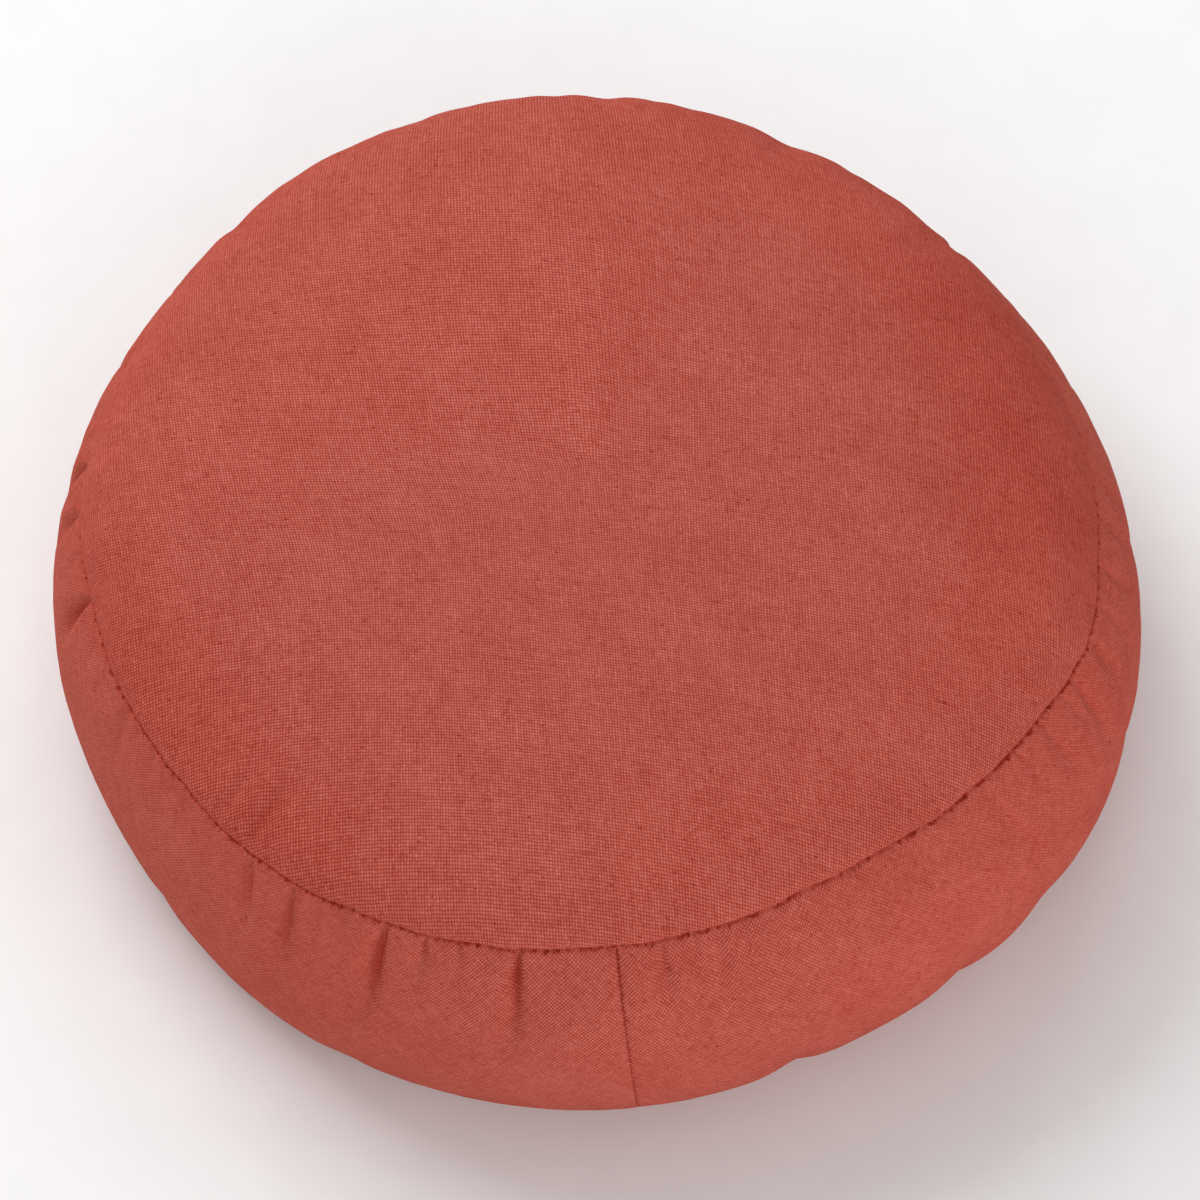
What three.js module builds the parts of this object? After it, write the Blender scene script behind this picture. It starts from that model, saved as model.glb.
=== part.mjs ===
// A round seat cushion of plain woven cloth: a round top, a gathered side band and a round underside.
// Millimetres, +Z up. The origin is under the middle of the cushion, on the surface it rests on.
// Angles are in degrees, anticlockwise from above: 0 is +X and 270 is the front.

import * as THREE from 'three';

// Driving dimensions
const crownTop = 140;             // highest point of the crown
const clothThickness = 1.6;
const clothGap = 0.3;             // air between two pieces that touch
const underSeamHeight = 9;        // under seam, above the resting surface
const underSeamTuck = 4;          // how much smaller the under seam is than the top seam
const restShare = 0.84;           // part of the underside's radius that is pressed flat
const bulgeFullness = 0.7;        // below 1 the band rounds out quickly beside its seams
const bulgeLevel = 0.55;          // how far down the band it is widest, as a share of its height
const gatherStart = 0.05;         // share of the band's height in which a gather gets its full depth
const dentStart = 0.3;            // the same for a dent of the top panel, as a share of its reach
const ridge = 0.45;               // how far cloth puffs up beside a trough, 0 for not at all

// Radius and height of the top seam, how far the band swells past it, and how boxy the crown's
// shoulder is (a lower power is boxier)
const sections = [
  { angle: 0, seamRadius: 174, seamHeight: 101, bulge: 19, shoulder: 0.48 },
  { angle: 30, seamRadius: 174, seamHeight: 99, bulge: 18, shoulder: 0.43 },
  { angle: 60, seamRadius: 179, seamHeight: 99, bulge: 16, shoulder: 0.41 },
  { angle: 90, seamRadius: 185, seamHeight: 99, bulge: 13, shoulder: 0.36 },
  { angle: 120, seamRadius: 184, seamHeight: 99, bulge: 14, shoulder: 0.37 },
  { angle: 150, seamRadius: 179, seamHeight: 98, bulge: 15, shoulder: 0.44 },
  { angle: 180, seamRadius: 179, seamHeight: 98, bulge: 12, shoulder: 0.48 },
  { angle: 210, seamRadius: 177, seamHeight: 98, bulge: 10, shoulder: 0.53 },
  { angle: 240, seamRadius: 182, seamHeight: 100, bulge: 14, shoulder: 0.57 },
  { angle: 270, seamRadius: 180, seamHeight: 103, bulge: 22, shoulder: 0.58 },
  { angle: 300, seamRadius: 172, seamHeight: 105, bulge: 25, shoulder: 0.57 },
  { angle: 330, seamRadius: 174, seamHeight: 104, bulge: 22, shoulder: 0.53 },
];

// Gathers of the band under the top seam. Each is a trough that starts at the seam and leans to one
// side as it runs down; reach is a share of the band's height, lean is in degrees over that reach.
const topGathers = [
  { angle: 6, depth: 1.6, halfWidth: 6, reach: 0.4, lean: 1 },
  { angle: 26, depth: 1.8, halfWidth: 7, reach: 0.35, lean: -2 },
  { angle: 45, depth: 3.2, halfWidth: 7, reach: 0.4, lean: 1 },
  { angle: 67, depth: 3.6, halfWidth: 7, reach: 0.45, lean: -1 },
  { angle: 89, depth: 2.6, halfWidth: 6, reach: 0.4, lean: 1 },
  { angle: 112, depth: 2.2, halfWidth: 7, reach: 0.4, lean: 0 },
  { angle: 135, depth: 3.4, halfWidth: 7, reach: 0.45, lean: 1 },
  { angle: 154, depth: 2, halfWidth: 7, reach: 0.4, lean: 1 },
  { angle: 170, depth: 3.6, halfWidth: 6.5, reach: 0.5, lean: 3 },
  { angle: 177, depth: 2.4, halfWidth: 6, reach: 0.4, lean: 2 },
  { angle: 188, depth: 3, halfWidth: 7, reach: 0.45, lean: 2 },
  { angle: 205, depth: 1.2, halfWidth: 8, reach: 0.4, lean: 0 },
  { angle: 230, depth: 2.4, halfWidth: 6.5, reach: 0.45, lean: 1 },
  { angle: 236, depth: 2.6, halfWidth: 6, reach: 0.5, lean: 0 },
  { angle: 247.5, depth: 3.8, halfWidth: 5.5, reach: 0.45, lean: -1 },
  { angle: 252, depth: 1.4, halfWidth: 5, reach: 0.2, lean: 0 },
  { angle: 262, depth: 3.4, halfWidth: 5.5, reach: 0.6, lean: 0.5 },
  { angle: 277.5, depth: 2, halfWidth: 5.5, reach: 0.35, lean: 0.5 },
  { angle: 284, depth: 1.6, halfWidth: 6, reach: 0.3, lean: -1 },
  { angle: 290, depth: 1.2, halfWidth: 7, reach: 0.4, lean: 1 },
  { angle: 303, depth: 1, halfWidth: 8, reach: 0.45, lean: 1 },
  { angle: 320, depth: 1.4, halfWidth: 7, reach: 0.4, lean: 2 },
  { angle: 332, depth: 2, halfWidth: 6, reach: 0.45, lean: 2 },
  { angle: 339, depth: 2.6, halfWidth: 6, reach: 0.5, lean: 2 },
  { angle: 347, depth: 2.6, halfWidth: 6, reach: 0.5, lean: 2 },
  { angle: 356, depth: 1.8, halfWidth: 6, reach: 0.45, lean: 1 },
];

// The same for gathers that rise from the under seam
const underGathers = [
  { angle: 18, depth: 1.8, halfWidth: 8, reach: 0.4, lean: 1 },
  { angle: 52, depth: 2.4, halfWidth: 8, reach: 0.45, lean: -1 },
  { angle: 83, depth: 1.6, halfWidth: 7, reach: 0.35, lean: 1 },
  { angle: 118, depth: 2.6, halfWidth: 8, reach: 0.45, lean: 0 },
  { angle: 149, depth: 1.8, halfWidth: 7, reach: 0.35, lean: -1 },
  { angle: 178, depth: 2, halfWidth: 8, reach: 0.4, lean: 1 },
  { angle: 214, depth: 1.6, halfWidth: 8, reach: 0.35, lean: 0 },
  { angle: 243, depth: 2, halfWidth: 8, reach: 0.4, lean: 1 },
  { angle: 292, depth: 3.6, halfWidth: 11, reach: 0.55, lean: 0 },
  { angle: 312, depth: 3.4, halfWidth: 10, reach: 0.55, lean: 1 },
  { angle: 341, depth: 1.8, halfWidth: 8, reach: 0.4, lean: -1 },
];

// The upright seam that joins the band's two ends, a shallow groove from seam to seam
const closingSeam = { angle: 272.5, depth: 1.4, halfWidth: 4, lean: 2.5 };

// Dents of the top panel that run inwards from the seam; reach is a share of the radius
const panelDents = [
  { angle: 45, depth: 2.6, halfWidth: 9, reach: 0.14 },
  { angle: 67, depth: 3, halfWidth: 9, reach: 0.14 },
  { angle: 89, depth: 2.2, halfWidth: 9, reach: 0.1 },
  { angle: 135, depth: 2.8, halfWidth: 9, reach: 0.12 },
  { angle: 171, depth: 2.4, halfWidth: 8, reach: 0.12 },
  { angle: 188, depth: 2.6, halfWidth: 9, reach: 0.12 },
  { angle: 231, depth: 2.6, halfWidth: 9, reach: 0.2 },
  { angle: 310, depth: 1.8, halfWidth: 8, reach: 0.18 },
];

// Rings of each surface, from its middle to its edge: share of the radius and number of corners
const crownRings = [
  { share: 0.3, corners: 24 },
  { share: 0.55, corners: 48 },
  { share: 0.74, corners: 48 },
  { share: 0.86, corners: 96 },
  { share: 0.935, corners: 96 },
  { share: 0.975, corners: 192 },
  { share: 1, corners: 192 },
];
const underRings = [
  { share: 0.45, corners: 24 },
  { share: restShare, corners: 96 },
  { share: 0.95, corners: 96 },
  { share: 1, corners: 192 },
];
const bandCorners = 192;
const bandLevels = [0, 0.04, 0.09, 0.15, 0.22, 0.31, 0.41, 0.52, 0.63, 0.74, 0.83, 0.9, 0.96, 1];

const turn = 360;
const probeAngle = 0.5;           // steps to each side that measure a face's slope
const probeShare = 0.01;
const fillInset = clothThickness + clothGap;

// Signed angle from one direction to another, between -180 and 180
function angleBetween(from, to) {
  const halfTurn = turn / 2;
  return ((to - from + turn + halfTurn) % turn) - halfTurn;
}

// Value of a table's column at any angle, on a smooth closed curve through its rows
function around(rows, column, angle) {
  const step = turn / rows.length;
  const steps = (((angle % turn) + turn) % turn) / step;
  const row = Math.floor(steps);
  const part = steps - row;
  const at = (k) => rows[(row + k + rows.length) % rows.length][column];
  const slopeHere = (at(1) - at(-1)) / 2;
  const slopeNext = (at(2) - at(0)) / 2;
  const rise = at(1) - at(0);
  const bend = 3 * rise - 2 * slopeHere - slopeNext;
  const twist = slopeHere + slopeNext - 2 * rise;
  return at(0) + part * (slopeHere + part * (bend + part * twist));
}

// Trough across its run: 1 in the middle, with a low ridge of puffed cloth on each side
function trough(offset) {
  return (1 - ridge * offset * offset) * Math.exp(-offset * offset);
}

// Fades from 1 at the start of a run to 0 at its end
function fade(along) {
  const left = THREE.MathUtils.clamp(1 - along, 0, 1);
  return left * left * (3 - 2 * left);
}

// Depth of all gathers that start at one seam, at a share of the band's height away from it
function gatherDepth(gathers, angle, share, radius) {
  const opening = Math.min(share / gatherStart, 1);
  let depth = 0;
  for (const row of gathers) {
    const middle = row.angle + row.lean * Math.min(share / row.reach, 1);
    const arc = THREE.MathUtils.degToRad(angleBetween(middle, angle)) * radius;
    depth += row.depth * opening * trough(arc / row.halfWidth) * fade(share / row.reach);
  }
  return depth;
}

// Groove of the closing seam at a share of the band's height
function closingDepth(angle, share, radius) {
  const ends = Math.min(share, 1 - share) / gatherStart;
  const middle = closingSeam.angle + closingSeam.lean * share;
  const arc = THREE.MathUtils.degToRad(angleBetween(middle, angle)) * radius;
  return closingSeam.depth * Math.min(ends, 1) * trough(arc / closingSeam.halfWidth);
}

// Depth of the top panel's dents, fullest a little inside the seam and none on it
function dentDepth(angle, share, radius) {
  const inward = 1 - share;
  let depth = 0;
  for (const row of panelDents) {
    const arc = THREE.MathUtils.degToRad(angleBetween(row.angle, angle)) * radius;
    const opening = Math.min(inward / (row.reach * dentStart), 1);
    depth += row.depth * opening * trough(arc / row.halfWidth) * fade(inward / row.reach);
  }
  return depth;
}

// Point at an angle and a radius round the axis
function place(angle, radius, height) {
  const radians = THREE.MathUtils.degToRad(angle);
  return new THREE.Vector3(radius * Math.cos(radians), radius * Math.sin(radians), height);
}

// Point of the cloth's outer face on the crown, at a share of the seam's radius
function crownFace(angle, share) {
  const radius = around(sections, 'seamRadius', angle);
  const seam = around(sections, 'seamHeight', angle);
  const power = around(sections, 'shoulder', angle);
  const rise = (crownTop - seam) * Math.pow(1 - share * share, power);
  return place(angle, radius * share, seam + rise - dentDepth(angle, share, radius));
}

// The same on the underside: flat to restShare, then curling up to the under seam
function undersideFace(angle, share) {
  const radius = around(sections, 'seamRadius', angle) - underSeamTuck;
  const curl = Math.max(share - restShare, 0) / (1 - restShare);
  return place(angle, radius * share, underSeamHeight * (1 - Math.sqrt(1 - curl * curl)));
}

// Point of a face moved by inset into the cushion, square to the face. On the axis that is straight
// along Z, and on the seam, where the cloth stands upright, it is straight towards the axis.
function insetPoint(face, angle, share, inset, edgeLift) {
  const point = face(angle, share);
  const height = point.z;
  const inwards = new THREE.Vector3(-point.x, -point.y, 0).normalize();
  if (share === 1) {
    return point.addScaledVector(inwards, inset).setZ(height + edgeLift);
  }
  const towardsMiddle = height > crownTop / 2 ? -1 : 1;
  if (share === 0) {
    return point.setZ(height + towardsMiddle * inset);
  }
  const outwardStep = face(angle, share + probeShare).sub(face(angle, share - probeShare));
  const sideStep = face(angle + probeAngle, share).sub(face(angle - probeAngle, share));
  const normal = outwardStep.cross(sideStep).normalize();
  return point.addScaledVector(normal, towardsMiddle * inset);
}

// Point of the band's outside at a share of the way from the top seam to the under seam
function bandPoint(angle, share) {
  const radius = around(sections, 'seamRadius', angle);
  const top = around(sections, 'seamHeight', angle) - clothGap / 2;
  const bottom = underSeamHeight + clothGap / 2;
  const skewed = Math.pow(share, Math.log(0.5) / Math.log(bulgeLevel));
  const swell = Math.pow(4 * skewed * (1 - skewed), bulgeFullness);
  const bulge = around(sections, 'bulge', angle) * swell;
  const gathers = gatherDepth(topGathers, angle, share, radius)
    + gatherDepth(underGathers, angle, 1 - share, radius)
    + closingDepth(angle, share, radius);
  return place(angle, radius - underSeamTuck * share + bulge - gathers, top + (bottom - top) * share);
}

// One ring of points at even angles; a ring of no corners is the single point on the axis
function ring(corners, pointAt) {
  if (corners === 0) {
    return { corners, points: [pointAt(0)] };
  }
  const points = Array.from({ length: corners }, (_, k) => pointAt((turn * k) / corners));
  return { corners, points };
}

// Rings of a surface from its middle to its edge
function surfaceRings(rows, pointAt) {
  return [ring(0, (angle) => pointAt(angle, 0)),
    ...rows.map((row) => ring(row.corners, (angle) => pointAt(angle, row.share)))];
}

// Closed solid through a chain of rings, which may have different numbers of corners. Between two
// rings the faces step along the ring that is behind, and along the wider one where they are level,
// so that two layers with the same rings are cut into the same triangles and stay parallel.
function solidThroughRings(rings) {
  const positions = [];
  const faces = [];
  const corner = (side, k) => side.first + (side.corners ? k % side.corners : 0);
  let upper = null;
  for (const { corners, points } of rings) {
    const width = Math.hypot(points[0].x, points[0].y);
    const lower = { corners, width, first: positions.length / 3 };
    points.forEach((point) => positions.push(point.x, point.y, point.z));
    let i = 0;
    let j = 0;
    while (upper && (i < upper.corners || j < lower.corners)) {
      const upperNext = (i + 1) / upper.corners;
      const lowerNext = (j + 1) / lower.corners;
      const level = upperNext === lowerNext;
      const onUpper = level ? upper.width > lower.width : upperNext < lowerNext;
      const third = onUpper ? corner(upper, i + 1) : corner(lower, j + 1);
      faces.push(corner(upper, i), corner(lower, j), third);
      i += onUpper ? 1 : 0;
      j += onUpper ? 0 : 1;
    }
    upper = lower;
  }
  const geometry = new THREE.BufferGeometry();
  geometry.setAttribute('position', new THREE.Float32BufferAttribute(positions, 3));
  geometry.setIndex(faces);
  geometry.computeVertexNormals();
  return geometry;
}

function clothMaterial(color) {
  return new THREE.MeshStandardMaterial({ color, roughness: 0.92, metalness: 0 });
}

// Round top: a crowned sheet that ends on the top seam
function topPanel() {
  const layer = (inset) => surfaceRings(crownRings, (angle, share) => (
    insetPoint(crownFace, angle, share, inset, clothGap / 2)));
  const outside = layer(0);
  const inside = layer(clothThickness);
  const geometry = solidThroughRings([...outside, ...inside.reverse()]);
  return new THREE.Mesh(geometry, clothMaterial('#b85646'));
}

// Side band with the stuffing that it holds, as one filled solid under the crown
function sideBand() {
  const crown = surfaceRings(crownRings, (angle, share) => (
    insetPoint(crownFace, angle, share, fillInset, -clothGap / 2)));
  const band = bandLevels.map((share) => ring(bandCorners, (angle) => bandPoint(angle, share)));
  const base = surfaceRings(underRings, (angle, share) => (
    insetPoint(undersideFace, angle, share, fillInset, clothGap / 2)));
  const geometry = solidThroughRings([...crown, ...band, ...base.reverse()]);
  return new THREE.Mesh(geometry, clothMaterial('#ae4f3f'));
}

// Round underside: a sheet pressed flat where the cushion rests
function bottomPanel() {
  const layer = (inset) => surfaceRings(underRings, (angle, share) => (
    insetPoint(undersideFace, angle, share, inset, -clothGap / 2)));
  const inside = layer(clothThickness);
  const outside = layer(0);
  const geometry = solidThroughRings([...inside, ...outside.reverse()]);
  return new THREE.Mesh(geometry, clothMaterial('#b15242'));
}

const cushion = new THREE.Group();
const pieces = { top_panel: topPanel(), side_band: sideBand(), bottom_panel: bottomPanel() };
for (const [name, mesh] of Object.entries(pieces)) {
  mesh.name = name;
  cushion.add(mesh);
}

// The uneven outline is moved so that its middle stands over the origin
const middle = new THREE.Box3().setFromObject(cushion).getCenter(new THREE.Vector3());
cushion.position.set(-middle.x, -middle.y, 0);

export default cushion;
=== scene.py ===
import math
from collections import namedtuple
from functools import reduce

import bpy
import numpy as np
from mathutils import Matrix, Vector


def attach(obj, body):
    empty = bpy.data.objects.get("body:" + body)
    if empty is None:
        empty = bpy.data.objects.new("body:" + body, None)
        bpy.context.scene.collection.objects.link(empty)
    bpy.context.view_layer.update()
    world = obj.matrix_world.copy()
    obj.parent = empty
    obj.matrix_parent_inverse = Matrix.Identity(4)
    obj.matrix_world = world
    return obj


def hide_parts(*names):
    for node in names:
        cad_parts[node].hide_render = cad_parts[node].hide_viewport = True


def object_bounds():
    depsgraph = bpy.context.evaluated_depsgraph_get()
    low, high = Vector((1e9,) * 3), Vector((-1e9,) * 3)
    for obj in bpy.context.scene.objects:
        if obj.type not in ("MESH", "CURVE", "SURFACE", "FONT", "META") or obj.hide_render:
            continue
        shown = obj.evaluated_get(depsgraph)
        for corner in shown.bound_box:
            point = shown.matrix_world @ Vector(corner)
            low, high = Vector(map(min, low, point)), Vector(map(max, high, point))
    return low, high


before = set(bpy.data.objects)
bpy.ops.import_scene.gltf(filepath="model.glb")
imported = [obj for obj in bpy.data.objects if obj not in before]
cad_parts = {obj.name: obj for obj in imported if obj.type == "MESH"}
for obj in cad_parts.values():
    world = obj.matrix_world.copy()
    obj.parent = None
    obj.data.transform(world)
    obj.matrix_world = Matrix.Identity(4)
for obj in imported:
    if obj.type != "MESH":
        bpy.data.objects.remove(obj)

# A round seat cushion of terracotta plain weave. Numbers are in millimetres and degrees, anticlockwise
# from above: 0 is +X and 270 is the front. Meshes, the camera and lamps are in metres.
MM = 0.001
TURN = 360
CAD_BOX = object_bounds()

CROWN_TOP = 140
UNDER_SEAM_HEIGHT = 9
UNDER_SEAM_TUCK = 4               # how much shorter the under seam's radius is than the top seam's
REST_SHARE = 0.84                 # share of the underside's radius that lies flat
BULGE_FULLNESS = 0.7
BULGE_LEVEL = 0.55                # share of the band's height at which it is widest
BULGE_SOFT = (0.05, 0.19)         # share in which it leaves the top seam softly, and how softly
SHOULDER_SOFT = (0.5, 5)          # slope that eases the crown's edge, and the length it takes
GATHER_START = 0.25               # share of its reach in which a gather gets its full depth
GATHER_NECK = 0.3                 # share of its width that it has at its seam
GATHER_OPEN = 0.6                 # share of its reach in which it gets its full width
GATHER_END = (2.5, 1.5)           # powers by which its depth runs out
GATHER_FORCE = 1.3                # fine folds are deeper than the plain solid's
DENT_START = 0.3                  # share of its reach in which a dent gets its full depth
TROUGH_POWER = 1.6                # how square the section of a trough is
RIDGE = 0.45                      # puffed cloth beside a trough
SHADE_LOPSIDED = 0.4              # how far the painted shade of a trough follows its skew

# Mean section, which sets how rows run from seam to seam
MEAN_RADIUS = 178
MEAN_RISE = 39
MEAN_SHOULDER = 0.48
MEAN_BULGE = 17
MEAN_BAND = 92

# Twelve sections, evenly spaced from angle 0
Section = namedtuple("Section", "angle seam_radius seam_height bulge shoulder")
SECTIONS = [Section(*row) for row in [
    (0, 174, 101, 19, 0.53), (30, 174, 99, 18, 0.5), (60, 179, 99, 16, 0.45),
    (90, 185, 99, 13, 0.36), (120, 184, 99, 14, 0.37), (150, 179, 98, 15, 0.44),
    (180, 179, 98, 12, 0.5), (210, 177, 98, 10, 0.61), (240, 182, 100, 14, 0.6),
    (270, 180, 103, 22, 0.58), (300, 172, 105, 25, 0.57), (330, 174, 104, 23, 0.53)]]

# Troughs of the band that start at a seam. Reach is a share of the band's height, lean is in degrees
# over that reach, and skew above 0 makes the clockwise flank the gentler one.
Gather = namedtuple("Gather", "angle depth half_width reach lean skew")
TOP_GATHERS = [Gather(*row) for row in [
    (1, 1.8, 4.4, 0.4, 3, 0.2), (7, 1.4, 5, 0.4, 2, 0.2),
    (26, 1.8, 7, 0.35, -2, 0), (45, 3.2, 7, 0.4, 1, 0.2),
    (67, 4.4, 6.4, 0.45, -1, -0.2), (89, 2.6, 6, 0.4, 1, 0.1),
    (112, 2.2, 7, 0.4, 0, -0.2), (135, 3.4, 7, 0.45, 1, 0.2),
    (154, 2, 7, 0.4, 1, 0), (171, 3.2, 5.2, 0.42, -3, 0.2),
    (177.5, 2.4, 4.6, 0.38, -3, 0.1), (189.5, 3.4, 6, 0.42, -3.5, 0.2),
    (205, 1.2, 8, 0.4, 0, 0), (230, 2.4, 6.5, 0.45, 1, 0.2),
    (236, 2.6, 6, 0.5, 0, 0.2), (247.5, 3.4, 6.2, 0.46, -1, 0.6),
    (251.8, 2, 3, 0.15, 0, 0.2), (262, 2.4, 4.6, 0.4, 0.3, 0.6),
    (277.5, 2.4, 4.2, 0.24, 0.3, 0.4), (284, 1.4, 5, 0.35, -1, 0.1),
    (290, 1.2, 6, 0.45, 1, 0.2), (303, 1, 8, 0.45, 1, 0),
    (320, 1.2, 7, 0.4, 1.5, 0.2), (331, 1.5, 5, 0.4, 1, 0.2),
    (338.2, 2, 5.4, 0.43, 1.5, 0.1), (344, 1.9, 5, 0.38, 1.5, 0.1),
    (349, 1.3, 3.6, 0.32, 2.5, 0.1), (354.5, 1.9, 4.8, 0.4, 3, 0.1)]]

# Small puckers between the gathers
PUCKERS = [Gather(*row) for row in [
    (242.5, 0.8, 2.2, 0.12, 0.3, 0.2), (255.5, 0.9, 2.6, 0.16, 0.5, 0.1),
    (258.5, 0.5, 2, 0.1, 0, 0), (262.2, 1.5, 4.5, 0.2, 0.1, 0.5),
    (267, 0.9, 2.4, 0.15, -0.3, 0.1), (270, 0.5, 2, 0.1, 0.2, 0),
    (281, 0.7, 2.4, 0.14, 0.3, 0), (287, 0.6, 2.2, 0.12, 0.2, 0.1),
    (295, 0.6, 2.6, 0.16, 0.6, 0), (299, 0.7, 2.2, 0.12, 0.3, 0.1),
    (308, 0.6, 2.6, 0.15, 0.8, 0), (314, 0.8, 2.6, 0.18, 1, 0.1),
    (326, 0.9, 2.8, 0.2, 1.2, 0.1), (335.5, 1, 2.6, 0.22, 1.2, 0.2),
    (343, 1, 2.8, 0.25, 1.4, 0.2), (351.5, 0.9, 2.6, 0.22, 1, 0.1),
    (2, 0.7, 2.4, 0.15, 0.5, 0), (15, 0.8, 2.8, 0.2, 0.4, 0.1),
    (35, 0.8, 2.6, 0.18, -0.4, 0), (53, 0.9, 3, 0.2, 0.4, 0.1),
    (60, 0.7, 2.6, 0.16, 0, 0), (76, 0.9, 3, 0.2, 0.3, 0),
    (82, 0.6, 2.4, 0.14, 0, 0.1), (99, 0.8, 2.8, 0.18, -0.3, 0),
    (105, 0.6, 2.4, 0.14, 0.2, 0), (121, 0.9, 3, 0.2, 0.3, 0.1),
    (128, 0.7, 2.6, 0.16, 0, 0), (144, 0.8, 2.8, 0.2, 0.4, 0.1),
    (161, 0.9, 2.8, 0.22, 0.6, 0.1), (166, 0.7, 2.4, 0.15, 0.4, 0),
    (182.5, 0.9, 2.6, 0.2, 0.8, 0.1), (195, 0.7, 2.6, 0.16, 0.4, 0),
    (212, 0.6, 2.4, 0.14, 0.2, 0), (219, 0.7, 2.6, 0.16, 0.3, 0.1)]]
UNDER_GATHERS = [Gather(*row) for row in [
    (18, 1.8, 8, 0.4, 1, 0), (52, 2.4, 8, 0.45, -1, 0.1), (83, 1.6, 7, 0.35, 1, 0),
    (118, 2.6, 8, 0.45, 0, -0.1), (149, 1.8, 7, 0.35, -1, 0), (178, 2, 8, 0.4, 1, 0.1),
    (214, 0.8, 8, 0.35, 0, 0), (243, 0.4, 14, 0.3, 1, 0), (292, 2.4, 17, 0.6, 0, 0.1),
    (312, 2.2, 17, 0.6, 1, 0), (325, 1.6, 15, 0.5, 0, 0), (343, 1, 9, 0.4, -1, 0)]]

# Dents of the top panel that run inwards from the seam; reach is a share of the radius
Dent = namedtuple("Dent", "angle depth half_width reach")
PANEL_DENTS = [Dent(*row) for row in [
    (45, 3, 8.5, 0.14), (67, 3.8, 8, 0.14), (89, 2.2, 9, 0.1),
    (135, 2.8, 9, 0.12), (171, 2.4, 8, 0.12), (188, 3, 8, 0.12),
    (224, 2.4, 4.4, 0.16), (229, 3.6, 5.4, 0.21), (306.5, 1.6, 3, 0.12),
    (309.5, 2.6, 4.4, 0.16)]]

# The upright seam that joins the band's ends
CLOSING_ANGLE = 272.5
CLOSING_LEAN = 2.5
CLOSING_DEPTH = 1.4
CLOSING_WIDTH = 4
CLOSING_START = 0.02              # share of the band in which it gets its full depth
CLOSING_FADE = 0.35               # share of the band in which it gets shallower
CLOSING_PITCH = 3.0               # of its stitches

# Channel that each seam draws the cloth into: its depth, and the distance in which it fades. The top
# seam's is shallow at both sides, where its stitches are hidden too: a share at each of some angles.
PANEL_CHANNEL = (1.0, 0.55)
BAND_CHANNEL = (1.0, 0.4)
UNDER_CHANNEL = (1.5, 1.2)
CLOSING_CHANNEL = (1.1, 0.55)
CHANNEL_SHARES = [
    (0, 0.5), (20, 0.2), (32, 0.4), (50, 1), (135, 1), (152, 0.4), (165, 0.2), (187, 0.4), (205, 1),
    (340, 1), (353, 0.9), (360, 0.5)]

# Cloth simulation of the band and the crown's edge, on a grid of turns and distances from the seam.
# It is run larger than life, where the solver is steady, and only the folds that it makes are kept.
GRID_COLUMNS = 432
GRID_CROWN_ROWS = 14
GRID_CROWN_STEP = (2.6, 0.12)     # distance of a crown row: times its number, and its square
GRID_BAND_ROWS = 38
GRID_SCALE = 10
GRID_FRAMES = 20
GRID_PRESSURE = 8
GRID_JITTER = 0.05                # uneven start, from which folds can form
GRID_SMOOTH_WAVES = 7             # slower waves round the cushion are left to the sections
SEAM_HOLD = 0.4                   # how firmly the top seam is held, from 0 to 1
CROWN_HOLD = (0.3, 0.3, 40)       # for the crown, the share by the seam, and the distance to all of it
MOVE_CAP = 5
FULLNESS = 0.035                  # how much longer the band's cloth is than the seam it is sewn to
FULLNESS_FADE = (0.45, 0.4)       # share of the band with all of it, and the share in which it fades
FULLNESS_SHARES = [
    (0, 1), (20, 0.6), (45, 0.5), (140, 0.5), (160, 1), (190, 1), (205, 0.5), (228, 0.7), (245, 1),
    (265, 0.9), (280, 0.5), (300, 0.3), (318, 0.5), (335, 1), (360, 1)]

# Small waver of the top seam: how many waves round the cushion, how high and where they start
Wave = namedtuple("Wave", "count height start")
SEAM_WAVER = [Wave(13, 0.35, 20), Wave(29, 0.26, 75), Wave(47, 0.15, 140), Wave(71, 0.1, 10)]
UP_AND_DOWN = 90                  # how much later those start that run up and down, not out and in

# Places where the top seam stands out further, or less far if below 0
Kink = namedtuple("Kink", "angle out half_width")
SEAM_KINKS = [Kink(345, 4, 11), Kink(342.5, 1, 1.8), Kink(191, -2.4, 9)]
SEAM_FADE = 12                    # distance along the cloth in which these no longer show


def between(start, end):
    """Signed angles from start to end, from -180 to 180."""
    return np.mod(end - start + TURN / 2, TURN) - TURN / 2


def around(column, angle):
    """A column of the sections at any angles, on a smooth closed curve."""
    values = np.array([getattr(row, column) for row in SECTIONS], float)
    steps = np.mod(angle, TURN) * len(SECTIONS) / TURN
    row = np.floor(steps).astype(int)
    part = steps - row

    def at(k):
        return values[(row + k) % len(SECTIONS)]

    here, after = (at(1) - at(-1)) / 2, (at(2) - at(0)) / 2
    rise = at(1) - at(0)
    bend, twist = 3 * rise - 2 * here - after, here + after - 2 * rise
    return at(0) + part * (here + part * (bend + part * twist))


def shares_at(table, angle):
    """Share at any angles, from a table of angles and shares."""
    return np.interp(np.mod(angle, TURN), *zip(*table))


def waver(angle, later):
    return sum(w.height * np.sin(np.radians(w.count * angle + w.start + later)) for w in SEAM_WAVER)


def seam_out(angle):
    """How far outwards the top seam strays from its smooth path."""
    kinks = [k.out * np.exp(-(between(k.angle, angle) / k.half_width) ** 2) for k in SEAM_KINKS]
    return waver(angle, 0) + sum(kinks)


def trough(offset):
    """Section of a trough, 1 in its middle, at an offset in half widths."""
    return (1 - RIDGE * offset**2) * np.exp(-np.abs(offset) ** TROUGH_POWER)


def fade(along):
    left = np.clip(1 - along, 0, 1)
    return left**2 * (3 - 2 * left)


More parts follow.
